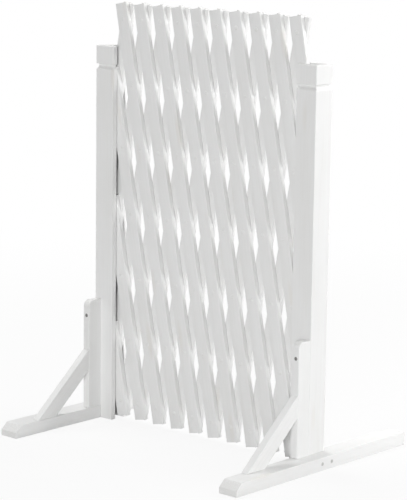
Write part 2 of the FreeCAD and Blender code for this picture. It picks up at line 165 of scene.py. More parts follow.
class FinishSettings(bpy.types.PropertyGroup):
    """Colours of the paint, the bare wood and the steel."""

    paint: FloatVectorProperty(
        name="Paint", description="White satin paint", default=(0.83, 0.832, 0.828),
        size=3, min=0.0, max=1.0, subtype="COLOR")
    paint_shade: FloatVectorProperty(
        name="Paint Shade", description="Paint where it lies thinner over the grain",
        default=(0.775, 0.772, 0.758), size=3, min=0.0, max=1.0, subtype="COLOR")
    knot: FloatVectorProperty(
        name="Knot", description="Faint stain of a knot under the paint", default=(0.74, 0.715, 0.665),
        size=3, min=0.0, max=1.0, subtype="COLOR")
    end_grain: FloatVectorProperty(
        name="End Grain", description="Paint that has soaked into sawn ends", default=(0.76, 0.757, 0.745),
        size=3, min=0.0, max=1.0, subtype="COLOR")
    rivet: FloatVectorProperty(
        name="Rivet", description="Painted rivet heads", default=(0.82, 0.822, 0.817),
        size=3, min=0.0, max=1.0, subtype="COLOR")
    steel: FloatVectorProperty(
        name="Steel", description="Dull plated screws", default=(0.30, 0.296, 0.29),
        size=3, min=0.0, max=1.0, subtype="COLOR")
    # Painted light: a share of the paint colour is mixed into the steel of the screws in the feet, so that
    # their heads look lit like the bright side of the feet
    foot_screw_painted_light: FloatProperty(
        name="Foot Screw Painted Light", description="Share of paint over the heads of the screws in the feet",
        default=0.6, min=0.0, max=1.0, subtype="FACTOR")


class StageSettings(bpy.types.PropertyGroup):
    """Camera, light and floor."""

    camera_place: FloatVectorProperty(
        name="Camera", description="Place of the camera", default=(2.94052, -3.31636, 1.21102),
        size=3, subtype="TRANSLATION", unit="LENGTH")
    camera_turn: FloatVectorProperty(
        name="Camera Turn", description="Swing to the left, tilt down and roll of the camera",
        default=(0.72583, 0.17983, 0.01267), size=3, subtype="EULER", unit="ROTATION")
    lens: FloatProperty(
        name="Lens", description="Focal length on a 36 mm high sensor, in millimetres",
        default=156.881, min=1.0)
    floor: FloatVectorProperty(
        name="Floor", description="Pale floor", default=(0.74, 0.74, 0.74),
        size=3, min=0.0, max=1.0, subtype="COLOR")
    floor_white: FloatProperty(
        name="Floor White", description="Share of plain white that the camera sees in the floor at the feet",
        default=0.9, min=0.0, max=1.0, subtype="FACTOR")
    shadow_reach: FloatProperty(
        name="Shadow Reach", description="Distance from the fence at which the floor has turned plain white",
        default=2.6, min=0.1, unit="LENGTH")
    sky: FloatProperty(
        name="Sky", description="Brightness of the even light from all round", default=0.12, min=0.0)
    front_lamp: FloatProperty(
        name="Front Lamp", description="Power of the lamp in front, in watts", default=1355.0, min=0.0)
    right_lamp: FloatProperty(
        name="Right Lamp", description="Power of the lamp on the right, in watts", default=425.0, min=0.0)
    rear_lamp: FloatProperty(
        name="Rear Lamp", description="Power of the lamp behind and to the right, in watts",
        default=27.5, min=0.0)
    top_lamp: FloatProperty(
        name="Top Lamp", description="Power of the lamp above, in watts", default=184.0, min=0.0)


class TrellisSettings(bpy.types.PropertyGroup):
    """All settings of the trellis fence."""

    timber: PointerProperty(type=TimberSettings)
    hardware: PointerProperty(type=HardwareSettings)
    finish: PointerProperty(type=FinishSettings)
    stage: PointerProperty(type=StageSettings)


# Node graphs for geometry and finishes

class Wire:
    """A socket of a node graph, with the arithmetic that adds Math nodes."""

    def __init__(self, graph, socket):
        self.graph = graph
        self.socket = socket

    def sibling(self, name):
        """Return another output of the same node."""
        return Wire(self.graph, self.socket.node.outputs[name])

    def __add__(self, other):
        return self.graph.math("ADD", self, other)

    def __radd__(self, other):
        return self.graph.math("ADD", other, self)

    def __sub__(self, other):
        return self.graph.math("SUBTRACT", self, other)

    def __rsub__(self, other):
        return self.graph.math("SUBTRACT", other, self)

    def __mul__(self, other):
        return self.graph.math("MULTIPLY", self, other)

    def __truediv__(self, other):
        return self.graph.math("DIVIDE", self, other)

    def __neg__(self):
        return self.graph.math("MULTIPLY", self, -1.0)


class Graph:
    """Adds nodes to a tree."""

    def __init__(self, tree):
        self.tree = tree

    def add(self, kind, settings=None, inputs=None, output=0):
        """Add a node with its settings, fill its sockets with values or wires, and return one output."""
        node = self.tree.nodes.new(kind)
        for name, value in (settings or {}).items():
            setattr(node, name, value)
        for name, value in (inputs or {}).items():
            for one in value if isinstance(value, list) else [value]:
                self.feed(node.inputs[name], one)
        return Wire(self, node.outputs[output]) if node.outputs else node

    def feed(self, socket, value):
        """Give a socket a link or a plain value."""
        if isinstance(value, Wire):
            self.tree.links.new(value.socket, socket)
        else:
            socket.default_value = value

    def math(self, operation, first, second):
        """Return a Math node's result."""
        return self.add("ShaderNodeMath", {"operation": operation}, {0: first, 1: second})

    def vector(self, x, y, z):
        """Join three values to a vector."""
        return self.add("ShaderNodeCombineXYZ", None, {"X": x, "Y": y, "Z": z})


WELD_DISTANCE = 1e-6


class Shape(Graph):
    """A Geometry Nodes tree with named inputs, which ends in Realize Instances and Set Material."""

    SOCKETS = {
        "Count": "NodeSocketInt",
        "Material": "NodeSocketMaterial",
        "Sawn": "NodeSocketBool",
        "Place": "NodeSocketVector",
        "Turn": "NodeSocketVector",
        "Saw Place": "NodeSocketVector",
        "Saw Turn": "NodeSocketVector",
    }

    def __init__(self, name, inputs):
        super().__init__(bpy.data.node_groups.new(name, "GeometryNodeTree"))
        self.identifiers = {}
        for label in [*inputs, "Place", "Turn", "Material"]:
            kind = self.SOCKETS.get(label, "NodeSocketFloat")
            item = self.tree.interface.new_socket(name=label, in_out="INPUT", socket_type=kind)
            self.identifiers[label] = item.identifier
        self.tree.interface.new_socket(name="Geometry", in_out="OUTPUT", socket_type="NodeSocketGeometry")
        self.entry = self.tree.nodes.new("NodeGroupInput")

    def __getitem__(self, label):
        return Wire(self, self.entry.outputs[label])

    def placed(self, geometry, place, turn=(0.0, 0.0, 0.0)):
        """Turn a piece of the tree and move it to a place."""
        return self.add("GeometryNodeTransform", None, {
            "Geometry": geometry, "Translation": place, "Rotation": turn})

    def raised(self, geometry, height):
        """Move a piece of the tree along Z."""
        return self.placed(geometry, self.vector(0.0, 0.0, height))

    def cut(self, solid, waste):
        """Take waste off a solid."""
        return self.add("GeometryNodeMeshBoolean", {"operation": "DIFFERENCE", "solver": "EXACT"}, {
            "Mesh 1": solid, "Mesh 2": waste})

    def joined(self, solids):
        """Join overlapping solids to one closed shell, without slivers at the seams."""
        shell = self.add("GeometryNodeMeshBoolean", {"operation": "UNION", "solver": "EXACT"}, {
            "Mesh 2": solids})
        return self.add("GeometryNodeMergeByDistance", None, {"Geometry": shell, "Distance": WELD_DISTANCE})

    def close(self, geometry):
        """Put the geometry in its place and end the tree."""
        real = self.add("GeometryNodeRealizeInstances", None, {
            "Geometry": self.placed(geometry, self["Place"], self["Turn"])})
        finished = self.add("GeometryNodeSetMaterial", None, {"Geometry": real, "Material": self["Material"]})
        self.add("NodeGroupOutput", None, {"Geometry": finished})

    def bake(self, name, values):
        """Run the tree with these input values and return the result as a plain object."""
        carrier = bpy.data.objects.new(name, bpy.data.meshes.new(name))
        bpy.context.scene.collection.objects.link(carrier)
        modifier = carrier.modifiers.new(self.tree.name, "NODES")
        modifier.node_group = self.tree
        for label, value in values.items():
            modifier[self.identifiers[label]] = value
        return bake_modifiers(carrier)


HEAD_SEGMENTS = 20
HEAD_RINGS = 10
PIN_FACETS = 20
EDGE_STEPS = 3

# Waste that is cut off a slat, as multiples of its width and thickness
SAW_WASTE = 4.0
BORE_WASTE = 3.0

# Slots and shanks, as shares of the radius or height of the head, or of the shank's radius
SLOT_WIDTH = 0.22
SCREW_SLOT = 1.1
PIVOT_SLOT = 3.0
SCREW_TIP = 0.5
SCREW_SHANK_TOP = 0.75
PIVOT_SHANK_TOP = 0.25


def bake_modifiers(carrier):
    """Turn an object's modifiers into its plain mesh."""
    depsgraph = bpy.context.evaluated_depsgraph_get()
    mesh = bpy.data.meshes.new_from_object(carrier.evaluated_get(depsgraph), depsgraph=depsgraph)
    mesh.name = carrier.name
    carrier.modifiers.clear()
    carrier.data = mesh
    return carrier


def row_of(shape, instance):
    """Repeat a piece of a tree in a row along X, by its Count and Spacing inputs."""
    points = shape.add("GeometryNodeMeshLine", {"mode": "OFFSET"}, {
        "Count": shape["Count"], "Offset": shape.vector(shape["Spacing"], 0.0, 0.0)})
    return shape.add("GeometryNodeInstanceOnPoints", None, {"Points": points, "Instance": instance})


def dome(shape, radius, height):
    """Add a round head that stands on the XY plane."""
    ball = shape.add("GeometryNodeMeshUVSphere", None, {
        "Segments": HEAD_SEGMENTS, "Rings": HEAD_RINGS, "Radius": 1.0})
    spread = shape.add("GeometryNodeTransform", None, {
        "Geometry": ball, "Scale": shape.vector(radius, radius, height)})
    position = shape.add("GeometryNodeInputPosition")
    x = shape.add("ShaderNodeSeparateXYZ", None, {"Vector": position}, output="X")
    above = shape.math("MAXIMUM", x.sibling("Z"), 0.0)
    cut_flat = shape.vector(x, x.sibling("Y"), above)
    return shape.add("GeometryNodeSetPosition", None, {"Geometry": spread, "Position": cut_flat})


def slat_shape():
    """Tree of one slat along Z: a rounded board, sawn at one corner if asked, with a hole at each pivot."""
    shape = Shape("Lattice Slat", [
        "Count", "Spacing", "Width", "Thickness", "End", "Edge", "Hole", "Sawn", "Saw Place", "Saw Turn"])
    span = (shape["Count"] - 1.0) * shape["Spacing"]
    section = shape.add("GeometryNodeCurvePrimitiveQuadrilateral", None, {
        "Width": shape["Width"], "Height": shape["Thickness"]})
    section = shape.add("GeometryNodeFilletCurve", {"mode": "POLY"}, {
        "Curve": section, "Count": EDGE_STEPS, "Radius": shape["Edge"]})
    path = shape.add("GeometryNodeCurvePrimitiveLine", None, {
        "Start": shape.vector(0.0, 0.0, -(span + shape["End"])), "End": shape.vector(0.0, 0.0, shape["End"])})
    board = shape.add("GeometryNodeCurveToMesh", None, {
        "Curve": path, "Profile Curve": section, "Fill Caps": True})

    side = shape["Width"] * SAW_WASTE
    waste = shape.add("GeometryNodeMeshCube", None, {"Size": shape.vector(side, side, side)})
    waste = shape.placed(waste, shape.vector(side / 2.0, 0.0, 0.0))
    waste = shape.placed(waste, shape["Saw Place"], shape["Saw Turn"])
    board = shape.add("GeometryNodeSwitch", {"input_type": "GEOMETRY"}, {
        "Switch": shape["Sawn"], "False": board, "True": shape.cut(board, waste)})

    points = shape.add("GeometryNodeMeshLine", {"mode": "OFFSET"}, {
        "Count": shape["Count"], "Offset": shape.vector(0.0, 0.0, -shape["Spacing"])})
    bore = shape.add("GeometryNodeMeshCylinder", None, {
        "Vertices": PIN_FACETS, "Radius": shape["Hole"], "Depth": shape["Thickness"] * BORE_WASTE})
    bores = shape.add("GeometryNodeInstanceOnPoints", None, {
        "Points": points, "Instance": bore, "Rotation": (math.pi / 2, 0.0, 0.0)})
    bores = shape.add("GeometryNodeRealizeInstances", None, {"Geometry": bores})
    shape.close(shape.cut(board, bores))
    return shape


def rivet_shape():
    """Tree of a row of rivets along X, with heads that face +Z and -Z."""
    shape = Shape("Rivet Row", ["Count", "Spacing", "Head", "Crown", "Shank", "Grip"])
    head = dome(shape, shape["Head"], shape["Crown"])
    front = shape.raised(head, shape["Grip"] / 2.0)
    rear = shape.placed(head, shape.vector(0.0, 0.0, shape["Grip"] / -2.0), (math.pi, 0.0, 0.0))
    shank = shape.add("GeometryNodeMeshCylinder", None, {
        "Vertices": PIN_FACETS, "Radius": shape["Shank"], "Depth": shape["Grip"] + shape["Crown"]})
    shape.close(row_of(shape, shape.joined([front, rear, shank])))
    return shape


def screw_shape():
    """Tree of a row of countersunk wood screws along X, with cross-slotted heads that face +Z at height 0."""
    shape = Shape("Wood Screws", ["Count", "Spacing", "Head", "Sink", "Shank", "Length"])
    head = shape.add("GeometryNodeMeshCone", None, {
        "Vertices": PIN_FACETS, "Radius Top": shape["Head"], "Radius Bottom": shape["Shank"],
        "Depth": shape["Sink"]})
    head = shape.raised(head, -shape["Sink"])
    long = shape["Head"] * SCREW_SLOT
    narrow = shape["Head"] * SLOT_WIDTH
    slots = [
        shape.add("GeometryNodeMeshCube", None, {"Size": shape.vector(x, y, shape["Sink"])})
        for x, y in ((long, narrow), (narrow, long))
    ]
    shank = shape.add("GeometryNodeMeshCone", None, {
        "Vertices": PIN_FACETS, "Radius Top": shape["Shank"], "Radius Bottom": shape["Shank"] * SCREW_TIP,
        "Depth": shape["Length"] - shape["Sink"] * SCREW_SHANK_TOP})
    shank = shape.raised(shank, -shape["Length"])
    shape.close(row_of(shape, shape.joined([shape.cut(head, slots), shank])))
    return shape


def pivot_shape():
    """Tree of a row of round-headed pivot screws along X, with slotted heads that stand on height 0."""
    shape = Shape("Pivot Screw", ["Count", "Spacing", "Head", "Crown", "Shank", "Length"])
    head = dome(shape, shape["Head"], shape["Crown"])
    slot = shape.add("GeometryNodeMeshCube", None, {
        "Size": shape.vector(shape["Head"] * PIVOT_SLOT, shape["Head"] * SLOT_WIDTH, shape["Crown"])})
    slot = shape.raised(slot, shape["Crown"])
    inside = shape["Crown"] * PIVOT_SHANK_TOP
    shank = shape.add("GeometryNodeMeshCylinder", None, {
        "Vertices": PIN_FACETS, "Radius": shape["Shank"], "Depth": shape["Length"] + inside})
    shank = shape.raised(shank, (inside - shape["Length"]) / 2.0)
    shape.close(row_of(shape, shape.joined([shape.cut(head, slot), shank])))
    return shape


# Finishes

class Finish(Graph):
    """A material's node graph with one surface shader."""

    def __init__(self, name):
        self.material = bpy.data.materials.new(name)
        self.material.use_nodes = True
        super().__init__(self.material.node_tree)
        self.tree.nodes.clear()

    def scaled(self, coordinates, cycles):
        """Return coordinates that pass so many units to the metre along each axis."""
        return self.add("ShaderNodeVectorMath", {"operation": "MULTIPLY"}, {0: coordinates, 1: cycles})

    def noise(self, coordinates, cycles, detail=3.0, roughness=0.5):
        """Return a noise that varies by so many cycles to the metre along each axis."""
        return self.add("ShaderNodeTexNoise", None, {
            "Vector": self.scaled(coordinates, cycles), "Scale": 1.0, "Detail": detail,
            "Roughness": roughness})

    def fade(self, value, low, high):
        """Return 0 below one value and 1 above the other, with a soft change between."""
        return self.add("ShaderNodeMapRange", {"interpolation_type": "SMOOTHSTEP"}, {
            "Value": value, "From Min": low, "From Max": high})

    def blend(self, factor, first, second):
        """Mix two colours."""
        return self.add("ShaderNodeMix", {"data_type": "RGBA"}, {0: factor, 6: first, 7: second}, output=2)

    def surface(self, inputs, height, strength, distance):
        """Close the graph with a Principled shader and the bump of a height."""
        bump = self.add("ShaderNodeBump", None, {
            "Height": height, "Strength": strength, "Distance": distance})
        shader = self.add("ShaderNodeBsdfPrincipled", None, {**inputs, "Normal": bump})
        self.add("ShaderNodeOutputMaterial", None, {"Surface": shader})
        return self.material


def colour(value):
    """Return a colour with full opacity."""
    return (*value, 1.0)


# Cycles of the noises to the metre, along the grain and both ways across it
CLOUD_CYCLES = (5.0, 16.0, 16.0)
GRAIN_CYCLES = (9.0, 210.0, 210.0)
BRUSH_CYCLES = (14.0, 900.0, 900.0)
PORE_CYCLES = (60.0, 600.0, 600.0)
KNOT_CYCLES = (4.0, 20.0, 20.0)

# Values of the noises between which the paint changes
CLOUD_FADE = (0.35, 0.75)
GRAIN_FADE = (0.45, 0.75)
PORE_FADE = (0.3, 0.6)
KNOT_FADE = (0.07, 0.20)

# Shares of the marks in the thinning, staining, roughness and height of the paint
GRAIN_THINS, CLOUDS_THIN = 0.35, 0.4
KNOT_STAINS = 0.4
PAINT_ROUGHNESS, CLOUDS_ROUGHEN, ENDS_ROUGHEN = 0.42, 0.14, 0.12
GRAIN_LIFTS, BRUSH_LIFTS, PORES_LIFT, KNOT_SINKS = 0.7, 0.35, 1.2, 0.5


def painted_wood(looks):
    """White satin paint brushed along softwood: grain, brush marks, faint knots and soaked ends."""
    finish = Finish("white painted wood")
    grain_way = finish.add("ShaderNodeAttribute", {"attribute_name": "grain"}, output="Vector")
    ends = finish.add("ShaderNodeAttribute", {"attribute_name": "sawn_end"}, output="Fac")
    clouds = finish.noise(grain_way, CLOUD_CYCLES)
    grain = finish.noise(grain_way, GRAIN_CYCLES, detail=4.0, roughness=0.6)
    brush = finish.noise(grain_way, BRUSH_CYCLES, detail=2.0, roughness=0.6)
    pores = finish.noise(grain_way, PORE_CYCLES, detail=2.0)
    cells = finish.scaled(grain_way, KNOT_CYCLES)
    knot_reach = finish.add("ShaderNodeTexVoronoi", None, {
        "Vector": cells, "Scale": 1.0, "Randomness": 1.0}, output="Distance")
    knot = 1.0 - finish.fade(knot_reach, *KNOT_FADE)
    thin = finish.fade(grain, *GRAIN_FADE) * GRAIN_THINS + finish.fade(clouds, *CLOUD_FADE) * CLOUDS_THIN
    tint = finish.blend(thin, colour(looks.paint), colour(looks.paint_shade))
    tint = finish.blend(knot * KNOT_STAINS, tint, colour(looks.knot))
    tint = finish.blend(ends * finish.fade(pores, *PORE_FADE), tint, colour(looks.end_grain))
    roughness = PAINT_ROUGHNESS + clouds * CLOUDS_ROUGHEN + ends * ENDS_ROUGHEN
    height = grain * GRAIN_LIFTS + brush * BRUSH_LIFTS + pores * ends * PORES_LIFT - knot * KNOT_SINKS
    paint = {"Base Color": tint, "Roughness": roughness, "Coat Weight": 0.05}
    return finish.surface(paint, height, strength=0.22, distance=0.0004)


MOTTLE_CYCLES = (260.0, 260.0, 260.0)
PEEL_CYCLES = (1400.0, 1400.0, 1400.0)
MOTTLE_FADE = (0.4, 0.7)
RIVET_ROUGHNESS, MOTTLE_ROUGHENS = 0.34, 0.12


def painted_rivet(looks):
    """Rivet heads under the same paint, a little greyer where it is thin."""
    finish = Finish("painted rivet metal")
    place = finish.add("ShaderNodeTexCoord", output="Object")
    mottle = finish.noise(place, MOTTLE_CYCLES)
    peel = finish.noise(place, PEEL_CYCLES, detail=2.0)
    tint = finish.blend(finish.fade(mottle, *MOTTLE_FADE), colour(looks.rivet), colour(looks.paint_shade))
    paint = {"Base Color": tint, "Roughness": RIVET_ROUGHNESS + mottle * MOTTLE_ROUGHENS}
    return finish.surface(paint, peel, strength=0.15, distance=0.0002)


PATCH_CYCLES = (420.0, 420.0, 420.0)
TURNED_CYCLES = (2600.0, 2600.0, 2600.0)
PATCH_FADE = (0.35, 0.7)
DULL_STEEL = 0.55
BARE_METALLIC = 0.85
STEEL_ROUGHNESS, PATCHES_ROUGHEN = 0.38, 0.2


def screw_steel(looks):
    """Dark plated screws with turned marks and dull patches; the screws in the feet get painted light, a
    share of the paint colour that makes their heads look lit.
    """
    finish = Finish("dark screw steel")
    place = finish.add("ShaderNodeTexCoord", output="Object")
    # Share of painted light: paint colour that makes the heads of the screws in the feet look lit
    painted_light = finish.add("ShaderNodeAttribute", {"attribute_name": "paint_cover"}, output="Fac")
    patches = finish.noise(place, PATCH_CYCLES, detail=4.0)
    marks = finish.noise(place, TURNED_CYCLES, detail=2.0)
    dull = tuple(channel * DULL_STEEL for channel in looks.steel)
    tint = finish.blend(finish.fade(patches, *PATCH_FADE), colour(looks.steel), colour(dull))
    # Mix the painted light into the steel colour, and take away as much of the metal's shine
    tint = finish.blend(painted_light, tint, colour(looks.paint_shade))
    metallic = BARE_METALLIC - painted_light * BARE_METALLIC
    roughness = STEEL_ROUGHNESS + patches * PATCHES_ROUGHEN
    steel = {"Base Color": tint, "Metallic": metallic, "Roughness": roughness}
    return finish.surface(steel, marks, strength=0.2, distance=0.0001)


def finish_for(slot):
    """Return a slot's material, made once."""
    looks = bpy.context.scene.trellis.finish
    makers = {
        "painted_wood": ("white painted wood", painted_wood),
        "rivet_metal": ("painted rivet metal", painted_rivet),
        "screw_steel": ("dark screw steel", screw_steel),
    }
    name, maker = makers[slot]
    return bpy.data.materials.get(name) or maker(looks)


# Timber

# Limits for marking the grain and easing the edges of a board
GRAIN_SHIFT = 40.0
GRAIN_LIES_DEEP = 0.9
SAWN_ACROSS = 0.6
FLAT_ANGLE = math.radians(0.5)
SHARP_ANGLE = math.radians(25)
SHORTEST_EASED_EDGE = 0.004
STRUT_ROUNDING = 0.0132

# First seeds for the grain, counted on from the left board or the first slat
BOARD_SEEDS = {"post": 1, "foot": 11, "strut": 21, "brace": 31}
SLAT_SEEDS = {"front": 301, "back": 101}


def mark_grain(piece, along, seed):
    """Store the place on the board, with X along its grain, and which faces are sawn across the grain."""
    along = Vector(along).normalized()
    across = Vector((0, 1, 0)).cross(along)
    if abs(along.y) > GRAIN_LIES_DEEP:
        across = along.orthogonal()
    across.normalize()
    through = along.cross(across)
    axes = np.array([along, across, through])
    mesh = piece.data
    places = np.zeros(len(mesh.vertices) * 3)
    mesh.vertices.foreach_get("co", places)
    shift = np.random.default_rng(seed).uniform(-GRAIN_SHIFT, GRAIN_SHIFT, 3)
    grain = places.reshape(-1, 3) @ axes.T + shift
    mesh.attributes.new("grain", "FLOAT_VECTOR", "POINT").data.foreach_set("vector", grain.ravel())
    normals = np.zeros(len(mesh.polygons) * 3)
    mesh.polygons.foreach_get("normal", normals)
    ends = (np.abs(normals.reshape(-1, 3) @ axes[0]) > SAWN_ACROSS).astype(float)
    mesh.attributes.new("sawn_end", "FLOAT", "FACE").data.foreach_set("value", ends)


def rounded_board(node, arcs_above=None):
    """Copy a frame node as a board with its long edges eased, and the short ones of arcs above a height."""
    settings = bpy.context.scene.trellis.timber
    source = frame["nodes"][node].data
    work = bmesh.new()
    work.from_mesh(source)
    bmesh.ops.remove_doubles(work, verts=work.verts, dist=WELD_DISTANCE)
    bmesh.ops.dissolve_limit(work, angle_limit=FLAT_ANGLE, verts=work.verts, edges=work.edges)
    weight = work.edges.layers.float.new("bevel_weight_edge")
    for edge in work.edges:
        if not edge.is_manifold or edge.calc_face_angle() < SHARP_ANGLE:
            continue
        on_arc = arcs_above is not None and min(vert.co.z for vert in edge.verts) > arcs_above
        edge[weight] = 1.0 if on_arc or edge.calc_length() > SHORTEST_EASED_EDGE else 0.0
    name = f"painted_{node}"
    mesh = bpy.data.meshes.new(name)
    work.to_mesh(mesh)
    work.free()
    mesh.materials.clear()
    mesh.materials.append(finish_for("painted_wood"))
    board = bpy.data.objects.new(name, mesh)
    bpy.context.scene.collection.objects.link(board)
    bevel = board.modifiers.new("eased edges", "BEVEL")
    bevel.limit_method = "WEIGHT"
    bevel.width = settings.edge_radius
    bevel.segments = EDGE_STEPS
    return bake_modifiers(board)


def stand(piece, body, node):
    """Let a finished piece ride on its body in place of a frame node."""
    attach(piece, body)
    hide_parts(node)


def make_board(side, node, along, seed, arcs_above=None):
    """Make one board of a stand, with the grain along a direction."""
    board = rounded_board(node, arcs_above)
    mark_grain(board, along, seed)
    stand(board, f"{side}_stand", node)


class TRELLIS_OT_posts(bpy.types.Operator):
    """Make the two slotted posts"""

    bl_idname = "trellis.posts"
    bl_label = "Posts"

    def execute(self, context):
        for seed, name in enumerate(SIDES, start=BOARD_SEEDS["post"]):
            make_board(name, f"{name}_post", (0, 0, 1), seed)
        return {"FINISHED"}


class TRELLIS_OT_feet(bpy.types.Operator):
    """Make the two foot beams"""

    bl_idname = "trellis.feet"
    bl_label = "Feet"

    def execute(self, context):
        for seed, name in enumerate(SIDES, start=BOARD_SEEDS["foot"]):
            make_board(name, f"{name}_foot", (0, 1, 0), seed)
        return {"FINISHED"}


class TRELLIS_OT_struts(bpy.types.Operator):
    """Make the upright boards on the fronts of the posts"""

    bl_idname = "trellis.struts"
    bl_label = "Struts"

    def execute(self, context):
        for seed, name in enumerate(SIDES, start=BOARD_SEEDS["strut"]):
            node = f"{name}_strut"
            rounding_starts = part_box(node)[1].z - STRUT_ROUNDING
            make_board(name, node, (0, 0, 1), seed, rounding_starts)
        return {"FINISHED"}


class TRELLIS_OT_braces(bpy.types.Operator):
    """Make the slanting braces"""

    bl_idname = "trellis.braces"
    bl_label = "Braces"

    def execute(self, context):
        for seed, name in enumerate(SIDES, start=BOARD_SEEDS["brace"]):
            node = f"{name}_brace"
            size = node_size(node)
            make_board(name, node, (0, size.y, size.z), seed)
        return {"FINISHED"}


# Lattice

def slat_rows(top_column, step):
    """Return the pivot rows that a slat crosses; its column moves by step at each row."""
    return [row for row in range(PIVOT_ROWS) if 0 <= top_column + step * row <= HALF_PITCHES]


def pivot_place(column, row, depth):
    """Return the place of a pivot at a depth along Y."""
    return Vector((
        LEFT_PIVOT.x + column * HALF_PITCH, depth, LEFT_PIVOT.z + (MIDDLE_ROW - row) * ROW_PITCH))


def saw_for(rows, first_column, last_column, reach):
    """Return where a slat end in a post slot is sawn, as a place and a turn, or nothing."""
    foot = -(len(rows) - 1) * PIVOT_SPACING
    for side, edge_column in ((-1, 0), (1, HALF_PITCHES)):
        for end, column, height in ((1, first_column, 0.0), (-1, last_column, foot)):
            if column == edge_column:
                away = Vector((side * math.cos(OPEN_ANGLE), 0.0, end * math.sin(OPEN_ANGLE)))
                turn = -math.atan2(away.z, away.x)
                return Vector((0.0, 0.0, height)) + away * reach, turn
    return None


class TRELLIS_OT_slats(bpy.types.Operator):
    """Make the front and back slats of the lattice"""

    bl_idname = "trellis.slats"
    bl_label = "Slats"

    def execute(self, context):
        timber = context.scene.trellis.timber
        shape = slat_shape()
        middle = {1: FRONT_FACE + SLAT_THICKNESS / 2, -1: REAR_FACE - SLAT_THICKNESS / 2}
        layers = (("front", 1, FRONT_TOP_COLUMNS), ("back", -1, BACK_TOP_COLUMNS))
        for layer, step, columns in layers:
            for number, column in enumerate(columns, start=1):
                node = f"{layer}_slat_{number:02d}"
                rows = slat_rows(column, step)
                first = column + step * rows[0]
                saw = saw_for(rows, first, column + step * rows[-1], timber.slat_reach)
                saw_place, saw_turn = saw or (Vector(), 0.0)
                lean = -step * REST_ANGLE
                slat = shape.bake(f"painted_{node}", {
                    "Count": len(rows), "Spacing": PIVOT_SPACING, "Width": SLAT_WIDTH,
                    "Thickness": SLAT_THICKNESS, "End": SLAT_END, "Edge": timber.slat_edge,
                    "Hole": timber.hole_radius, "Sawn": saw is not None, "Saw Place": saw_place,
                    "Saw Turn": (0.0, saw_turn, 0.0), "Place": pivot_place(first, rows[0], middle[step]),
                    "Turn": (0.0, lean, 0.0), "Material": finish_for("painted_wood")})
                seed = SLAT_SEEDS[layer] + number - 1
                mark_grain(slat, (math.sin(lean), 0.0, math.cos(lean)), seed)
                stand(slat, node, node)
        return {"FINISHED"}


def turn_to(facing, row):
    """Return the turn that points Z along a facing direction and X along a row."""
    facing = Vector(facing)
    row = Vector(row)
    return Matrix((row, facing.cross(row), facing)).transposed().to_euler()


class TRELLIS_OT_rivets(bpy.types.Operator):
    """Make the rivets of each front slat"""

    bl_idname = "trellis.rivets"
    bl_label = "Rivets"

    def execute(self, context):
        hardware = context.scene.trellis.hardware
        shape = rivet_shape()
        low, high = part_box("rivets_07")
        grip = high.y - low.y - 2 * hardware.rivet_height
        middle = (low.y + high.y) / 2
        down = Vector((math.sin(REST_ANGLE), 0.0, -math.cos(REST_ANGLE)))
        for number, column in enumerate(FRONT_TOP_COLUMNS, start=1):
            rows = [
                row for row in slat_rows(column, 1)
                if not (row == MIDDLE_ROW and column + row in (0, HALF_PITCHES))
            ]
            rivets = shape.bake(f"painted_rivets_{number:02d}", {
                "Count": len(rows), "Spacing": PIVOT_SPACING, "Head": hardware.rivet_radius,
                "Crown": hardware.rivet_height, "Shank": hardware.pin_radius, "Grip": grip,
                "Place": pivot_place(column + rows[0], rows[0], middle), "Turn": turn_to((0, -1, 0), down),
                "Material": finish_for("rivet_metal")})
            stand(rivets, f"front_slat_{number:02d}", f"rivets_{number:02d}")
        return {"FINISHED"}


# Screws

class TRELLIS_OT_screws(bpy.types.Operator):
    """Make the countersunk wood screws of both stands"""

    bl_idname = "trellis.screws"
    bl_label = "Wood Screws"

    def execute(self, context):
        hardware = context.scene.trellis.hardware
        # The screws in the feet get painted light: a share of the paint colour that makes their heads look
        # lit
        paint = {"foot_screws": context.scene.trellis.finish.foot_screw_painted_light}
        shape = screw_shape()
        head = node_size("left_strut_screw").x / 2
        for name, side in SIDES.items():
            for kind, count, facing, row in (
                ("foot_screws", 2, (side, 0, 0), (0, 1, 0)),
                ("base_screws", 2, (0, 0, -1), (0, 1, 0)),
                ("strut_screw", 1, (0, -1, 0), (1, 0, 0)),
                ("brace_screw", 1, (0, 1, 0), (1, 0, 0)),
            ):
                node = f"{name}_{kind}"
                low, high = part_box(node)
                axis = max(range(3), key=lambda index: abs(facing[index]))
                size = high - low
                place = (low + high) / 2
                place[axis] = high[axis] if facing[axis] > 0 else low[axis]
                spacing = 0.0
                if count > 1:
                    spacing = size.y - 2 * head
                    place.y = low.y + head
                screws = shape.bake(f"steel_{node}", {
                    "Count": count, "Spacing": spacing, "Head": hardware.screw_radius,
                    "Sink": hardware.screw_sink, "Shank": hardware.screw_shank, "Length": size[axis],
                    "Place": place, "Turn": turn_to(facing, row), "Material": finish_for("screw_steel")})
                # Store each screw's share of painted light
                painted_light = np.full(len(screws.data.vertices), paint.get(kind, 0.0))
                screws.data.attributes.new("paint_cover", "FLOAT", "POINT").data.foreach_set("value", painted_light)
                stand(screws, f"{name}_stand", node)
        return {"FINISHED"}


class TRELLIS_OT_pivot_screws(bpy.types.Operator):
    """Make the screws that hold the lattice in the posts"""

    bl_idname = "trellis.pivot_screws"
    bl_label = "Pivot Screws"

    def execute(self, context):
        hardware = context.scene.trellis.hardware
        shape = pivot_shape()
        for name in SIDES:
            node = f"{name}_pivot_screw"
            low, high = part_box(node)
            place = (low + high) / 2
            place.y = high.y - hardware.pivot_height
            screw = shape.bake(f"steel_{node}", {
                "Count": 1, "Spacing": 0.0, "Head": hardware.pivot_radius, "Crown": hardware.pivot_height,
                "Shank": hardware.pin_radius, "Length": place.y - low.y, "Place": place,
                "Turn": turn_to((0, 1, 0), (1, 0, 0)), "Material": finish_for("screw_steel")})
            stand(screw, f"{name}_stand", node)
        return {"FINISHED"}


# Stage

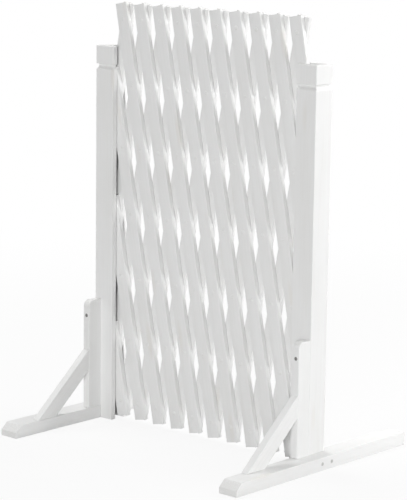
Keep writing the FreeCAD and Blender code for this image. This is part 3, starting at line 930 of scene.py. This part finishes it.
FLOOR_SIDE = 120.0
SPECKLE_CYCLES = (3.0, 3.0, 3.0)
FLOOR_SPECKLE = 0.985
SHADOW_START = 0.3
SENSOR_HEIGHT = 36.0
VIEW_DEPTH = 200.0
LAMPS = {
    "front_lamp": {"size": 3.8, "place": (8.22, -13.8, 2.2)},
    "right_lamp": {"size": 3.0, "place": (14.6, 3.4, 1.7)},
    "rear_lamp": {"size": 1.4, "place": (1.0, 1.4, 1.5)},
    "top_lamp": {"size": 2.4, "place": (-2.4, 0.38, 5.0)},
}


def floor_finish(settings):
    """Pale floor that the camera sees nearly white, with the object's shadow kept."""
    finish = Finish("pale floor")
    place = finish.add("ShaderNodeTexCoord", output="Object")
    speckle = finish.noise(place, SPECKLE_CYCLES)
    shade = tuple(channel * FLOOR_SPECKLE for channel in settings.floor)
    tint = finish.blend(speckle, colour(settings.floor), colour(shade))
    ground = finish.add("ShaderNodeBsdfDiffuse", None, {"Color": tint})
    white = finish.add("ShaderNodeEmission", None, {"Color": (1.0, 1.0, 1.0, 1.0), "Strength": 1.0})
    distance = finish.add("ShaderNodeVectorMath", {"operation": "LENGTH"}, {0: place}, output="Value")
    far = finish.fade(distance, settings.shadow_reach * SHADOW_START, settings.shadow_reach)
    share = seen_directly(finish) * (settings.floor_white + far * (1.0 - settings.floor_white))
    mixed = finish.add("ShaderNodeMixShader", None, {0: share, 1: ground, 2: white})
    finish.add("ShaderNodeOutputMaterial", None, {"Surface": mixed})
    return finish.material


def seen_directly(graph):
    """Return 1 for what the camera sees itself, in a mirror or through glass, and 0 for light."""
    path = graph.add("ShaderNodeLightPath", output="Is Camera Ray")
    seen = path + path.sibling("Is Glossy Ray") + path.sibling("Is Transmission Ray")
    return graph.math("MINIMUM", seen, 1.0)


def add_lamp(name, power, size, place):
    """Add a square lamp that faces the middle of the fence and isn't seen itself."""
    lamp = bpy.data.lights.new(name, "AREA")
    lamp.energy = power
    lamp.shape = "SQUARE"
    lamp.size = size
    holder = bpy.data.objects.new(name, lamp)
    middle = (Vector(CAD_BOX[0]) + Vector(CAD_BOX[1])) / 2
    turn = (middle - Vector(place)).to_track_quat("-Z", "Y").to_matrix().to_4x4()
    holder.matrix_world = Matrix.Translation(place) @ turn
    holder.visible_camera = False
    bpy.context.scene.collection.objects.link(holder)


def light_sky(settings):
    """Even light from all round, with a plain white background."""
    world = bpy.data.worlds.new("studio")
    world.use_nodes = True
    graph = Graph(world.node_tree)
    graph.tree.nodes.clear()
    strength = settings.sky + seen_directly(graph) * (1.0 - settings.sky)
    sky = graph.add("ShaderNodeBackground", None, {"Color": (1.0, 1.0, 1.0, 1.0), "Strength": strength})
    graph.add("ShaderNodeOutputWorld", None, {"Surface": sky})
    bpy.context.scene.world = world


def add_camera(settings):
    """Add the camera at the photograph's viewing angle."""
    swing, tilt, roll = settings.camera_turn
    forward = Vector((-math.sin(swing) * math.cos(tilt), math.cos(swing) * math.cos(tilt), -math.sin(tilt)))
    level = Vector((math.cos(swing), math.sin(swing), 0.0))
    up = level.cross(forward)
    right = math.cos(roll) * level + math.sin(roll) * up
    up = math.cos(roll) * up - math.sin(roll) * level
    lens = bpy.data.cameras.new("camera")
    lens.sensor_fit = "VERTICAL"
    lens.sensor_height = SENSOR_HEIGHT
    lens.lens = settings.lens
    lens.clip_end = VIEW_DEPTH
    camera = bpy.data.objects.new("camera", lens)
    turn = Matrix((right, up, -forward)).transposed().to_4x4()
    camera.matrix_world = Matrix.Translation(Vector(settings.camera_place)) @ turn
    bpy.context.scene.collection.objects.link(camera)
    bpy.context.scene.camera = camera


def add_floor(settings):
    """Add the floor that the fence stands on."""
    half = FLOOR_SIDE / 2
    mesh = bpy.data.meshes.new("floor")
    corners = [(-half, -half, 0.0), (half, -half, 0.0), (half, half, 0.0), (-half, half, 0.0)]
    mesh.from_pydata(corners, [], [(0, 1, 2, 3)])
    mesh.materials.append(floor_finish(settings))
    floor = bpy.data.objects.new("floor", mesh)
    bpy.context.scene.collection.objects.link(floor)


class TRELLIS_OT_stage(bpy.types.Operator):
    """Make the floor, the lamps and the camera"""

    bl_idname = "trellis.stage"
    bl_label = "Stage"

    def execute(self, context):
        settings = context.scene.trellis.stage
        add_floor(settings)
        light_sky(settings)
        for name, lamp in LAMPS.items():
            add_lamp(name, getattr(settings, name), **lamp)
        add_camera(settings)
        context.scene.view_settings.view_transform = "Standard"
        return {"FINISHED"}


class TRELLIS_PT_panel(bpy.types.Panel):
    """Lists the trellis fence's settings and the operators that make its pieces"""

    bl_idname = "TRELLIS_PT_panel"
    bl_label = "Trellis Fence"
    bl_space_type = "VIEW_3D"
    bl_region_type = "UI"
    bl_category = "Trellis"

    def draw(self, context):
        for group in ("timber", "hardware", "finish", "stage"):
            settings = getattr(context.scene.trellis, group)
            box = self.layout.box()
            box.label(text=group.capitalize())
            for name in settings.__annotations__:
                box.prop(settings, name)
        for operator in OPERATORS:
            self.layout.operator(operator.bl_idname)


SETTINGS = (TimberSettings, HardwareSettings, FinishSettings, StageSettings, TrellisSettings)
OPERATORS = (
    TRELLIS_OT_posts, TRELLIS_OT_feet, TRELLIS_OT_struts, TRELLIS_OT_braces, TRELLIS_OT_slats,
    TRELLIS_OT_rivets, TRELLIS_OT_screws, TRELLIS_OT_pivot_screws, TRELLIS_OT_stage,
)
CLASSES = (*SETTINGS, *OPERATORS, TRELLIS_PT_panel)


def register():
    for cls in CLASSES:
        bpy.utils.register_class(cls)
    bpy.types.Scene.trellis = PointerProperty(type=TrellisSettings)


def unregister():
    del bpy.types.Scene.trellis
    for cls in reversed(CLASSES):
        bpy.utils.unregister_class(cls)


def main():
    """Make every piece and the stage."""
    register()
    for operator in (
        bpy.ops.trellis.posts, bpy.ops.trellis.feet, bpy.ops.trellis.struts, bpy.ops.trellis.braces,
        bpy.ops.trellis.slats, bpy.ops.trellis.rivets, bpy.ops.trellis.screws, bpy.ops.trellis.pivot_screws,
        bpy.ops.trellis.stage,
    ):
        operator()


if __name__ == "__main__":
    main()
